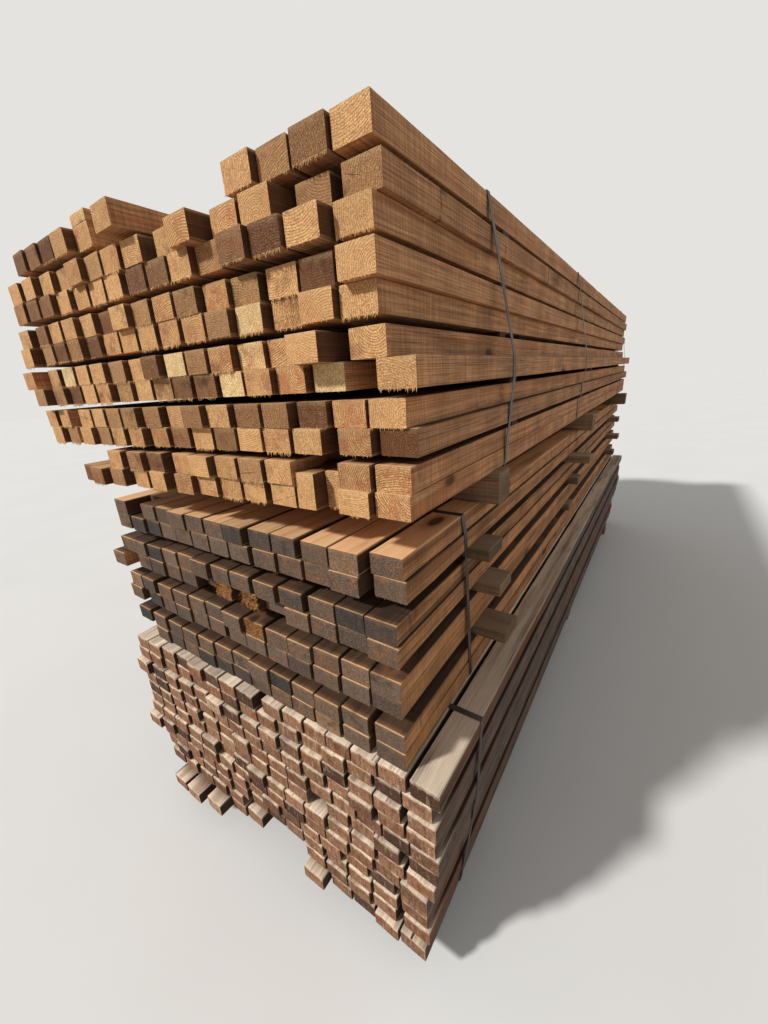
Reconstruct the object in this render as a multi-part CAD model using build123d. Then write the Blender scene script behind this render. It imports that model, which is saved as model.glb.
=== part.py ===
"""A stack of sawn lumber: three strapped packs of boards, one on top of another.

The frame has +X across the boards, to the right as one faces their near ends, +Y along the boards,
away from those ends, and +Z up. Lengths are in millimetres. The origin is the middle of the
footprint, on the floor.
"""

from build123d import *
from dataclasses import dataclass, field
import os

# Board stock, one size for each pack, all of one length
board_length = 3600.0
upper_board_width = 72.0
upper_board_thickness = 47.0
middle_board_width = 76.0
middle_board_thickness = 47.0
lower_board_width = 72.0
lower_board_thickness = 45.0
arris = 2.0

# Bearers, the square timbers that hold a pack off what is under it
bearer_width = 80.0
bearer_height = 80.0
bearer_end_inset = 375.0
bearer_middle_shift = -90.0
bearer_left_overhang = 40.0

# Stickers between the pairs of rows in the middle pack
sticker_width = 100.0
sticker_thickness = 34.0
sticker_left_overhang = 30.0

# Thin laths between the pairs of rows in the upper pack
lath_width = 45.0
lath_thickness = 14.0
lath_end_inset = 520.0
lath_levels = 5

# A thin slat left lying on the upper pack
slat_thickness = 22.0

# Straps and the crimped seals that join their ends
strap_width = 16.0
strap_thickness = 1.0
strap_bearer_clearance = 8.0
seal_length = 34.0
seal_width = 20.0
seal_thickness = 3.0
crimp_depth = 2.0
crimp_width = 3.0

# Place of each pack's near ends at x = 0, and how much nearer they come for each unit to the left
upper_front = 0.0
upper_skew = 0.085
middle_front = -20.0
middle_skew = 0.015
lower_front = -47.0
lower_skew = 0.04

# How far each pair of rows, from the bottom up, stands out past its pack's front
upper_pair_steps = [6.0, 0.0, 0.0, 2.0, 4.0, 6.0]
middle_pair_steps = [10.0, 4.0, -2.0, -10.0]
lower_pair_steps = [14.0, 10.0, 12.0, 4.0, 2.0, -8.0]

# Board ends are never flush: each board takes the next of these small steps out of its row
upper_end_steps = [0.0, 5.0, -3.0, 7.0, 2.0, -5.0, 4.0, 9.0, -2.0, 3.0, -7.0, 6.0, 1.0]
middle_end_steps = [0.0, 2.0, -1.0, 3.0, 1.0, -2.0, 4.0, 6.0, -1.0, 2.0, -3.0, 5.0, 1.0]
lower_end_steps = [0.0, 3.0, -2.0, 4.0, 1.0, -3.0, 2.0, 7.0, -1.0, 3.0, -4.0, 5.0, 1.0]

# Boards lie close side by side, with the next of these gaps between them
small_gaps = [2.0, 4.0, 3.0, 2.0, 6.0, 2.0, 3.0]

# Two boards of the upper pack's lowest row stand on edge, and the row above leaves room for them
upper_right = 32.0
beside_pair = 4.0
edge_pair_room = 2 * upper_board_thickness + 3 * small_gaps[0]

# Rows from the bottom up: the x of the right side, how many boards, and the wider gaps. A gap
# follows the board of its number, and boards count from 0 at the right.
upper_rows = [
    (upper_right, 14, {0: beside_pair, 1: small_gaps[0], 2: small_gaps[0], 3: small_gaps[0], 4: 14, 8: 33,
                       10: 28, 11: 13}),
    (upper_right, 10, {0: beside_pair, 1: edge_pair_room, 2: 6, 4: 10, 5: 10, 6: 23, 8: 27}),
    (42, 15, {0: 10, 1: 26, 5: 6, 6: 9, 8: 13, 9: 10, 12: 41}),
    (25, 15, {2: 10, 4: 18, 7: 13, 8: 12, 12: 55, 13: 10}),
    (53, 15, {0: 67, 1: 6, 4: 8, 5: 7, 9: 7, 13: 15}),
    (1, 15, {0: 34, 6: 7, 10: 8, 12: 14, 13: 42}),
    (-8, 15, {2: 13, 6: 9, 7: 7, 13: 38}),
    (5, 15, {0: 14, 2: 16, 6: 9, 12: 7, 13: 35}),
    (-9, 15, {0: 7, 7: 16, 10: 7, 13: 12}),
    (2, 14, {0: 23, 1: 17, 2: 12, 3: 16, 5: 26, 6: 8, 11: 8, 12: 17}),
    (-7, 10, {3: 252, 4: 71}),
]
upper_on_edge = {0: (2, 3)}
slat_column = 5

middle_rows = [
    (8, 13, {0: 15, 1: 8, 2: 7, 5: 5, 8: 7, 9: 7}),
    (7, 13, {0: 16, 8: 6, 9: 6, 10: 20, 11: 22}),
    (0, 13, {1: 6, 2: 7, 4: 6, 6: 16, 9: 8, 10: 10, 11: 34}),
    (2, 13, {4: 12, 5: 9, 6: 11, 9: 8, 10: 29}),
    (2, 13, {3: 20, 5: 28, 10: 8, 11: 40}),
    (-3, 13, {2: 16, 3: 8, 4: 18, 5: 6, 6: 12, 10: 15}),
    (7, 13, {0: 19, 3: 6, 4: 15, 6: 6, 7: 8, 11: 16}),
    (1, 13, {0: 12, 2: 18, 4: 16, 6: 12}),
]

lower_rows = [
    (60, 11, {3: 8, 4: 105, 5: 24, 8: 24, 9: 10}),
    (64, 12, {0: 18, 4: 52, 5: 24, 6: 52, 9: 15}),
    (57, 14, {0: 8, 3: 9, 7: 14}),
    (58, 14, {0: 15, 2: 9, 7: 5, 10: 8}),
    (66, 15, {11: 12}),
    (82, 15, {0: 8, 1: 8, 11: 7}),
    (85, 14, {0: 20, 3: 60, 11: 12}),
    (92, 15, {10: 17}),
    (83, 15, {1: 9, 12: 9}),
    (86, 15, {0: 14, 2: 9, 7: 10, 13: 15}),
    (73, 15, {4: 9, 7: 7, 10: 9}),
    (92, 15, {0: 8, 6: 26}),
]

# Boards with a place of their own instead of the next small step: (row, board) and how far out
upper_odd_ends = {(0, 2): -25, (0, 12): 18, (4, 14): 20, (5, 1): 30, (5, 14): 16, (7, 0): 20, (8, 0): -4,
                  (8, 1): 14, (8, 2): 15, (8, 3): 19, (9, 0): -15, (9, 1): -26, (9, 2): 8, (9, 4): 24,
                  (10, 0): -12, (10, 1): -12, (10, 2): -21, (10, 3): -15, (10, 4): 29, (10, 5): -4,
                  (10, 6): 10}
middle_odd_ends = {(0, 12): -60, (4, 4): -22, (4, 7): -30, (4, 12): 25, (6, 0): -18, (7, 0): -19,
                   (7, 11): -70}
lower_odd_ends = {(0, 0): 10, (0, 1): 12, (0, 4): 26, (0, 5): -90, (0, 8): 40, (0, 9): 50, (0, 10): 46,
                  (1, 5): -70, (1, 6): -40, (4, 14): 14, (5, 9): -14, (9, 14): 10}

# Distance of each strap from its pack's front, across the top and across the bottom
upper_strap_front = (410.0, bearer_end_inset + bearer_width + strap_bearer_clearance)
upper_strap_middle = (1435.0, 1450.0)
middle_strap_front = (285.0, 325.0)
lower_strap_front = (220.0, 170.0)

# Stickers, for each level from the bottom up: the distances of the near sides from the pack's front
# to the first one, from its middle to the second and from its rear to the third, then how far each
# right end stands out past the pack
sticker_levels = [
    ((380.0, -240.0, 420.0), (78.0, 14.0, 52.0)),
    ((395.0, -200.0, 430.0), (54.0, 37.0, 72.0)),
    ((330.0, -280.0, 400.0), (46.0, 90.0, 58.0)),
]

# How far the right end of each bearer stands out past the lowest row above it
upper_bearer_ends = (20.0, 42.0, 60.0)
base_bearer_ends = (-20.0, -12.0, 4.0)


@dataclass
class Pack:
    """A strapped pack: its rows of boards, from the bottom up, with a spacer between some pairs of rows."""

    rows: list
    width: float
    thickness: float
    bottom: float
    front: float
    skew: float
    pair_steps: list
    end_steps: list
    odd_ends: dict
    spacer: float = 0.0
    spacer_levels: int = 0
    on_edge: dict = field(default_factory=dict)

    def row_bottom(self, row):
        """The z on which a row lies."""
        return self.bottom + row * self.thickness + min(row // 2, self.spacer_levels) * self.spacer

    def row_top(self, row):
        """The z of the top of a row."""
        return self.row_bottom(row) + self.thickness

    def top(self):
        """The z of the top of the pack."""
        return self.row_top(len(self.rows) - 1)

    def across(self, row):
        """The left side and the width of each board of a row, from the right to the left."""
        right, count, wider_gaps = self.rows[row]
        places = []
        for column in range(count):
            width = self.thickness if column in self.on_edge.get(row, ()) else self.width
            places.append((right - width, width))
            gap = small_gaps[(row + column) % len(small_gaps)]
            right -= width + wider_gaps.get(column, gap)
        return places

    def left(self, row):
        """The x of a row's left side."""
        return self.across(row)[-1][0]

    def right(self, row):
        """The x of a row's right side."""
        return self.rows[row][0]

    def leftmost(self):
        """The x of the left side of the row that reaches furthest to the left."""
        return min(map(self.left, range(len(self.rows))))

    def rightmost(self):
        """The x of the right side of the row that reaches furthest to the right."""
        return max(map(self.right, range(len(self.rows))))

    def board_front(self, row, column):
        """The y of one board's near end."""
        left, width = self.across(row)[column]
        line = self.front + self.skew * (left + 0.5 * width) - self.pair_steps[row // 2]
        step = self.end_steps[(5 * row + 3 * column) % len(self.end_steps)]
        return line - self.odd_ends.get((row, column), step)

    def boards(self, row):
        """The boards of one row, which lie side by side without touching."""
        flat = eased_board(self.width, self.thickness)
        on_edge = eased_board(self.thickness, self.width)
        solids = []
        for column, (left, width) in enumerate(self.across(row)):
            board = flat if width == self.width else on_edge
            solids.append(Pos(left, self.board_front(row, column), self.row_bottom(row)) * board)
        return solids

    def corners(self):
        """The x and z of the corners of the pack's rows, which a tight strap can bear on."""
        return [(x, z) for row in range(len(self.rows)) for x in (self.left(row), self.right(row))
                for z in (self.row_bottom(row), self.row_top(row))]


def eased_board(width, height):
    """A board along +Y with eased long edges, its lower left near corner at the origin."""
    section = Rectangle(width, height, align=(Align.MIN, Align.MIN))
    section = chamfer(section.vertices(), arris)
    return extrude(Plane.XZ * section, amount=-board_length)


def crossbar(left, right, near, bottom, width, thickness):
    """A square-edged bar across the boards, along X."""
    bar = Box(right - left, width, thickness, align=(Align.MIN, Align.MIN, Align.MIN))
    return Pos(left, near, bottom) * bar


def convex_outline(points):
    """The corners of the convex outline round some points in a plane, anticlockwise."""
    ordered = sorted(set(points))

    def lower_chain(sequence):
        chain = []
        for x, z in sequence:
            while len(chain) > 1:
                (x0, z0), (x1, z1) = chain[-2:]
                if (x1 - x0) * (z - z0) > (z1 - z0) * (x - x0):
                    break
                chain.pop()
            chain.append((x, z))
        return chain[:-1]

    return lower_chain(ordered) + lower_chain(reversed(ordered))


class Strap:
    """A strap pulled tight round a pack, and the crimped seal on it."""

    def __init__(self, corners, near_top, near_bottom):
        self.inner = convex_outline(corners)
        outline = make_face(Polyline(self.inner, close=True))
        mitred = offset(outline, amount=strap_thickness, kind=Kind.INTERSECTION)
        self.outer = convex_outline([(corner.X, corner.Y) for corner in mitred.vertices()])
        self.low = min(z for x, z in self.inner)
        self.lean = (near_top - near_bottom) / (max(z for x, z in self.inner) - self.low)
        self.near_bottom = near_bottom

    def near(self, z):
        """The y of the strap's near edge at a height, because a strap never hangs quite plumb."""
        return self.near_bottom + self.lean * (z - self.low)

    def slab(self, outline, extra=0.0):
        """The space inside an outline in x and z, over the strap's width and something extra."""
        face = make_face(Polyline([(x, self.near(z) - extra, z) for x, z in outline], close=True))
        return extrude(face, amount=strap_width + 2 * extra, dir=(0, 1, 0))

    def band(self):
        """The strap itself, a closed band of square section."""
        return self.slab(self.outer) - self.slab(self.inner, strap_width)

    def seal(self):
        """The folded seal, halfway along the strap's longest stretch on the left side."""
        middle = 0.5 * (min(x for x, z in self.outer) + max(x for x, z in self.outer))
        runs = [(start, end) for start, end in zip(self.outer, self.outer[1:] + self.outer[:1])
                if max(start[0], end[0]) < middle]
        (x0, z0), (x1, z1) = max(runs, key=lambda run: abs(run[0][1] - run[1][1]))
        x, z = 0.5 * (x0 + x1), 0.5 * (z0 + z1)
        place = Plane(origin=(x, self.near(z) + 0.5 * strap_width, z),
                      x_dir=(x1 - x0, self.lean * (z1 - z0), z1 - z0), z_dir=(z1 - z0, 0, x0 - x1))
        body = Box(seal_length, seal_width, seal_thickness, align=(Align.CENTER, Align.CENTER, Align.MIN))
        crimp = Box(crimp_width, 2 * crimp_depth, 3 * seal_thickness)
        crimps = [Pos(along, side) * crimp for along in (-0.25 * seal_length, 0.25 * seal_length)
                  for side in (-0.5 * seal_width, 0.5 * seal_width)]
        return place * (body - crimps)


# The packs, each on what carries it; the straps of two packs lie in the gap between them
lower = Pack(lower_rows, lower_board_width, lower_board_thickness, bearer_height, lower_front, lower_skew,
             lower_pair_steps, lower_end_steps, lower_odd_ends)
middle = Pack(middle_rows, middle_board_width, middle_board_thickness, lower.top() + strap_thickness,
              middle_front, middle_skew, middle_pair_steps, middle_end_steps, middle_odd_ends,
              sticker_thickness, len(sticker_levels))
upper = Pack(upper_rows, upper_board_width, upper_board_thickness, middle.top() + bearer_height, upper_front,
             upper_skew, upper_pair_steps, upper_end_steps, upper_odd_ends, lath_thickness, lath_levels,
             upper_on_edge)


def bearers(pack, bottom, right_ends):
    """The three bearers under a pack."""
    nears = (bearer_end_inset, 0.5 * (board_length - bearer_width) + bearer_middle_shift,
             board_length - bearer_end_inset - bearer_width)
    return [crossbar(pack.left(0) - bearer_left_overhang, pack.right(0) + end, near, bottom,
                     bearer_width, bearer_height) for near, end in zip(nears, right_ends)]


def stickers():
    """The three stickers on each level of the middle pack."""
    bars = []
    for level, ((from_front, from_middle, from_rear), ends) in enumerate(sticker_levels):
        nears = (from_front, 0.5 * board_length + from_middle, board_length - from_rear - sticker_width)
        for near, end in zip(nears, ends):
            bars.append(crossbar(middle.leftmost() - sticker_left_overhang, middle.rightmost() + end,
                                 middle.front + near, middle.row_top(2 * level + 1), sticker_width,
                                 sticker_thickness))
    return bars


def lath_spans():
    """The left and right ends and the bottom of the laths on each level of the upper pack."""
    for below in range(1, 2 * upper.spacer_levels, 2):
        rows = (below, below + 1)
        yield min(map(upper.left, rows)), min(map(upper.right, rows)), upper.row_top(below)


def laths():
    """The three laths on each level of the upper pack."""
    nears = (lath_end_inset, 0.5 * (board_length - lath_width), board_length - lath_end_inset - lath_width)
    return [crossbar(left, right, upper.front + near, bottom, lath_width, lath_thickness)
            for left, right, bottom in lath_spans() for near in nears]


def slat():
    """The thin slat on one board of the upper pack's highest row."""
    row = len(upper.rows) - 1
    left, width = upper.across(row)[slat_column]
    near = upper.board_front(row, slat_column)
    bar = Box(width, board_length, slat_thickness, align=(Align.MIN, Align.MIN, Align.MIN))
    return Pos(left, near, upper.top()) * bar


def upper_corners():
    """What a strap bears on round the upper pack: its rows, its laths and the slat."""
    ends = [(x, z) for left, right, bottom in lath_spans() for x in (left, right)
            for z in (bottom, bottom + lath_thickness)]
    left, width = upper.across(len(upper.rows) - 1)[slat_column]
    return upper.corners() + ends + [(x, upper.top() + slat_thickness) for x in (left, left + width)]


def rear_of(near_pair):
    """The places of the rear strap, as far from the rear ends as the front one is from the front."""
    return tuple(board_length - near - strap_width for near in near_pair)


straps = {}
for name, corners, front, places in (
        ("lower_strap_front", lower.corners(), lower_front, lower_strap_front),
        ("lower_strap_rear", lower.corners(), lower_front, rear_of(lower_strap_front)),
        ("middle_strap_front", middle.corners(), middle_front, middle_strap_front),
        ("middle_strap_rear", middle.corners(), middle_front, rear_of(middle_strap_front)),
        ("upper_strap_front", upper_corners(), upper_front, upper_strap_front),
        ("upper_strap_middle", upper_corners(), upper_front, upper_strap_middle),
        ("upper_strap_rear", upper_corners(), upper_front, rear_of(upper_strap_front))):
    straps[name] = Strap(corners, front + places[0], front + places[1])

nodes = {
    "base_bearers": bearers(lower, 0.0, base_bearer_ends),
    "middle_stickers": stickers(),
    "upper_bearers": bearers(upper, middle.top(), upper_bearer_ends),
    "upper_laths": laths(),
    "upper_slat": [slat()],
    "strap_seals": [strap.seal() for strap in straps.values()],
}
for pack_name, pack in (("lower", lower), ("middle", middle), ("upper", upper)):
    for row in range(len(pack.rows)):
        nodes[f"{pack_name}_layer_{row + 1:02d}"] = pack.boards(row)
for name, strap in straps.items():
    nodes[name] = [strap.band()]

# The origin goes to the middle of the footprint, on the floor
whole = Compound([solid for solids in nodes.values() for solid in solids]).bounding_box()
to_origin = Pos(-whole.center().X, -whole.center().Y, -whole.min.Z)

os.makedirs("parts", exist_ok=True)
for name, solids in nodes.items():
    export_step(Compound([to_origin * solid for solid in solids]), f"parts/{name}.step")
print("size", whole.size, "middle of footprint", whole.center())
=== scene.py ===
"""The looks of a stack of sawn lumber: three strapped packs of rough boards on bearers.

Lengths are in metres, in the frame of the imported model: +X across the boards to the right, +Y along
the boards away from their near ends, +Z up, with the floor at 0.
"""

import math

import bmesh
import bpy
import numpy as np
from bpy.props import FloatProperty, FloatVectorProperty, IntProperty, PointerProperty
from mathutils import Matrix, Vector


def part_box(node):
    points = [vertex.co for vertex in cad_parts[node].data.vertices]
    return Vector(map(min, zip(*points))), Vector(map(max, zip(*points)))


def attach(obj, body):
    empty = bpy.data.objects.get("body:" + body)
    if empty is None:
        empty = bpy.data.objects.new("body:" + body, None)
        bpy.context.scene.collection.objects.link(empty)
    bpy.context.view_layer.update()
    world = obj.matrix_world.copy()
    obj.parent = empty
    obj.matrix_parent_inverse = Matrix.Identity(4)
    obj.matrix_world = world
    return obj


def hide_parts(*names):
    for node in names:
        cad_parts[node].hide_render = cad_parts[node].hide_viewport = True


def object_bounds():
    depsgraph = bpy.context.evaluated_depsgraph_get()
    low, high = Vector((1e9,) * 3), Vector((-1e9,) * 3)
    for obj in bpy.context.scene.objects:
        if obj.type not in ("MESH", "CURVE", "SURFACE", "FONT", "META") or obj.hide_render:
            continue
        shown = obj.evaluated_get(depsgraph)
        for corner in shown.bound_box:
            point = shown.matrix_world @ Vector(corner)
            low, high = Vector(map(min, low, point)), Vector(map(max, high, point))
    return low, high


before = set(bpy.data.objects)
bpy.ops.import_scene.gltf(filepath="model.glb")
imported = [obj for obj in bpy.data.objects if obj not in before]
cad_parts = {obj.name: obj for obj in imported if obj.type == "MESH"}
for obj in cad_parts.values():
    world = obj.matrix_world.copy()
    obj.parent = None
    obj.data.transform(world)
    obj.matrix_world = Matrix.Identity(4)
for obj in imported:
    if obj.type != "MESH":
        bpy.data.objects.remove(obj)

bl_info = {
    "name": "Stack of Lumber",
    "version": (1, 0, 0),
    "blender": (4, 5, 0),
    "location": "3D View > Sidebar > Lumber",
    "description": "Dresses a packed stack of sawn boards with rough timber, straps and a studio floor",
    "category": "Object",
}

CAD_BOX = [list(corner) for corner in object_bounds()]
MILLIMETRE = 0.001

# How far in from its ends the sun reaches a board that lies open: more than any board's length, in metres
OPEN_ALL_OVER = 100.0

# Two boards of a row shade each other's sides where the gap between them is narrower than this
CLOSE = 40 * MILLIMETRE

# How dark the laths between the rows are painted, against the other spacers: painted shade for the gaps
LATH_PAINTED_SHADE = 0.4

# How far a board bows to either side
BOW = 0.7 * MILLIMETRE

# Distance between the rings of vertices along a timber, in metres: for boards whose sides show, for those
# inside a pack, and for the bearers and spacers
SHOWN_SPACING = 0.09
HIDDEN_SPACING = 0.9
SPACER_SPACING = 0.08

# How far in from an end its unevenness dies away along the sides, in metres
END_FADE = 0.06

# Edges that turn further than this look sharp, in degrees
SHARP_TURN = 32

# Broken fibres that stand out of a torn end
SPLINTERS = 160

# The seed of the bearers and spacers
SPACER_SEED = 61

# Half the width of the studio floor, in metres
FLOOR_REACH = 40.0

# The camera's eye, measured from the near right corner of the upper bearers, and its height over the floor
EYE_RIGHT_OF_BEARERS = 0.2652
EYE_IN_FRONT_OF_BEARERS = 0.9147
EYE_HEIGHT = 1.413

# How far the camera is turned from +Y to the right, up from level, and with its right side raised
YAW = math.radians(-35.4575)
PITCH = math.radians(-18.6892)
ROLL = math.radians(-3.756)

# From the stack towards the main lamp
LAMP_DIRECTION = Vector((-3.4, -5.0, 5.0))

# The names and descriptions of the settings that each kind of timber has
END_LIGHT = ("End Earlywood", "Pale wood between the rings on a sawn end")
END_DARK = ("End Latewood", "Dark rings on a sawn end")
END_ODD = ("Dark End", "Ends of the darker boards or pieces")
END_PALE = ("Pale End", "Ends of the palest boards or pieces")
SIDE_LIGHT = ("Side Earlywood", "Pale grain on the long sides")
SIDE_DARK = ("Side Latewood", "Dark grain lines on the long sides")
SIDE_ODD = ("Streak", "Streaks and patches of another tint")
# The stain colour also paints the shade on sides close to another board and on tops under a row
STAIN_AND_SHADE = ("Stain", "Dirt, knots and cracks")
# The top colour is also a painted lit strip near the ends and a painted highlight along the arrises
TOP = ("Top", "Worn top faces and arrises")
TORN_LIGHT = ("Torn Fibre", "Pale torn fibres")
TORN_DARK = ("Torn Hollow", "Shaded wood between torn fibres")
RING = ("Ring Spacing", "Distance between growth rings")
ARRIS = ("Arris", "Width of the worn long edges")
SPECKLE = ("Speckle", "Strength of the torn fibre pattern on the ends")
SAW_MARKS = ("Saw Marks", "Strength of the marks of the band saw on the sides")
WEATHERING = ("Weathering", "Strength of the drying cracks and of the bleached edges")
FIBRES = ("Fibres", "Torn fibres that hang from a ragged end")


def screen(red, green, blue):
    """A colour as seen on screen, 0 to 255 each, turned into the linear values that Blender keeps."""
    shares = [value / 255 for value in (red, green, blue)]
    return tuple(s / 12.92 if s <= 0.04045 else ((s + 0.055) / 1.055) ** 2.4 for s in shares)


def colour(name, description, red, green, blue):
    """A colour that the user can pick."""
    return FloatVectorProperty(name=name, description=description, subtype="COLOR", size=3,
                               min=0.0, max=1.0, default=screen(red, green, blue))


def share(name, description, default):
    """A share from 0 to 1 that the user can set."""
    return FloatProperty(name=name, description=description, subtype="FACTOR", min=0.0, max=1.0,
                         default=default)


def size(name, description, default):
    """A size in metres that the user can set."""
    return FloatProperty(name=name, description=description, subtype="DISTANCE", unit="LENGTH", min=0.0,
                         default=default)


def number(name, description, default):
    """How many of something the user wants."""
    return IntProperty(name=name, description=description, min=0, default=default)


class UpperLook(bpy.types.PropertyGroup):
    """Sizes and colours of the upper pack's boards."""

    end_light: colour(*END_LIGHT, 232, 181, 122)
    end_dark: colour(*END_DARK, 158, 102, 54)
    end_odd: colour(*END_ODD, 112, 62, 32)
    end_pale: colour(*END_PALE, 242, 216, 160)
    side_light: colour(*SIDE_LIGHT, 236, 180, 130)
    side_dark: colour(*SIDE_DARK, 166, 112, 74)
    side_odd: colour(*SIDE_ODD, 192, 124, 82)
    stain_and_shade: colour(*STAIN_AND_SHADE, 66, 38, 22)
    top: colour(*TOP, 222, 178, 126)
    torn_light: colour(*TORN_LIGHT, 240, 202, 146)
    torn_dark: colour(*TORN_DARK, 186, 130, 78)
    ring: size(*RING, 0.0040)
    arris: size(*ARRIS, 0.0009)
    speckle: share(*SPECKLE, 0.65)
    saw_marks: share(*SAW_MARKS, 0.55)
    weathering: share(*WEATHERING, 0.15)
    fibres: number(*FIBRES, 75)


class MiddleLook(bpy.types.PropertyGroup):
    """Sizes and colours of the middle pack's boards."""

    end_light: colour(*END_LIGHT, 122, 102, 86)
    end_dark: colour(*END_DARK, 80, 66, 56)
    end_odd: colour(*END_ODD, 70, 66, 64)
    end_pale: colour(*END_PALE, 164, 130, 98)
    side_light: colour(*SIDE_LIGHT, 228, 168, 114)
    side_dark: colour(*SIDE_DARK, 150, 98, 62)
    side_odd: colour(*SIDE_ODD, 138, 98, 66)
    stain_and_shade: colour(*STAIN_AND_SHADE, 46, 34, 26)
    top: colour(*TOP, 240, 194, 142)
    torn_light: colour(*TORN_LIGHT, 196, 136, 76)
    torn_dark: colour(*TORN_DARK, 64, 38, 20)
    ring: size(*RING, 0.0036)
    arris: size(*ARRIS, 0.0014)
    speckle: share(*SPECKLE, 0.95)
    saw_marks: share(*SAW_MARKS, 0.4)
    weathering: share(*WEATHERING, 0.3)
    fibres: number(*FIBRES, 8)


class LowerLook(bpy.types.PropertyGroup):
    """Sizes and colours of the lower pack's boards."""

    end_light: colour(*END_LIGHT, 170, 126, 94)
    end_dark: colour(*END_DARK, 96, 58, 38)
    end_odd: colour(*END_ODD, 78, 46, 30)
    end_pale: colour(*END_PALE, 234, 206, 176)
    side_light: colour(*SIDE_LIGHT, 130, 117, 106)
    side_dark: colour(*SIDE_DARK, 64, 51, 42)
    side_odd: colour(*SIDE_ODD, 142, 86, 50)
    stain_and_shade: colour(*STAIN_AND_SHADE, 54, 34, 25)
    top: colour(*TOP, 250, 226, 198)
    torn_light: colour(*TORN_LIGHT, 228, 202, 168)
    torn_dark: colour(*TORN_DARK, 150, 112, 84)
    ring: size(*RING, 0.0036)
    arris: size(*ARRIS, 0.0020)
    speckle: share(*SPECKLE, 0.6)
    saw_marks: share(*SAW_MARKS, 0.2)
    weathering: share(*WEATHERING, 0.9)
    fibres: number(*FIBRES, 10)


class BearerLook(bpy.types.PropertyGroup):
    """Sizes and colours of the bearers, stickers and laths."""

    end_light: colour(*END_LIGHT, 166, 134, 104)
    end_dark: colour(*END_DARK, 112, 86, 62)
    end_odd: colour(*END_ODD, 112, 90, 70)
    end_pale: colour(*END_PALE, 184, 156, 120)
    side_light: colour(*SIDE_LIGHT, 162, 132, 102)
    side_dark: colour(*SIDE_DARK, 106, 82, 60)
    side_odd: colour(*SIDE_ODD, 122, 104, 84)
    stain_and_shade: colour(*STAIN_AND_SHADE, 48, 38, 30)
    top: colour(*TOP, 150, 128, 102)
    torn_light: colour(*TORN_LIGHT, 196, 166, 126)
    torn_dark: colour(*TORN_DARK, 122, 94, 68)
    ring: size(*RING, 0.0040)
    arris: size(*ARRIS, 0.0018)
    speckle: share(*SPECKLE, 0.5)
    saw_marks: share(*SAW_MARKS, 0.3)
    weathering: share(*WEATHERING, 0.5)


class StrapLook(bpy.types.PropertyGroup):
    """Colours of the straps and their seals."""

    steel: colour("Strap", "Dark painted strap", 62, 57, 56)
    dust: colour("Dust", "Dust and scuffs on the strap", 112, 104, 98)
    seal: colour("Seal", "Steel of the crimped seals", 118, 116, 112)


class StageLook(bpy.types.PropertyGroup):
    """The studio floor, its light and the camera."""

    floor: colour("Floor", "Pale studio floor", 222, 220, 216)
    bounce: colour("Bounce", "Colour of the light that the floor gives back", 150, 138, 126)
    backdrop: colour("Backdrop", "Pale background", 229, 227, 223)
    ambient: FloatProperty(name="Ambient", description="Strength of the light from all round", min=0.0,
                           default=0.4)
    key: FloatProperty(name="Key Lamp", description="Strength of the main lamp", min=0.0, default=3.2)
    softness: FloatProperty(name="Softness", description="Width of the main lamp as the stack sees it",
                            subtype="ANGLE", unit="ROTATION", min=0.0, default=math.radians(5.0))
    lens: FloatProperty(name="Lens", description="Focal length for a 36 mm sensor along the longer side",
                        subtype="DISTANCE_CAMERA", unit="CAMERA", min=1.0, default=13.971)


class LumberSettings(bpy.types.PropertyGroup):
    """All the sizes and colours of the stack."""

    upper: PointerProperty(name="Upper Pack", description="Boards of the upper pack", type=UpperLook)
    middle: PointerProperty(name="Middle Pack", description="Boards of the middle pack", type=MiddleLook)
    lower: PointerProperty(name="Lower Pack", description="Boards of the lower pack", type=LowerLook)
    bearers: PointerProperty(name="Bearers", description="Bearers, stickers, laths and slat",
                             type=BearerLook)
    straps: PointerProperty(name="Straps", description="Straps and seals", type=StrapLook)
    stage: PointerProperty(name="Stage", description="Floor, light and camera", type=StageLook)


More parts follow.
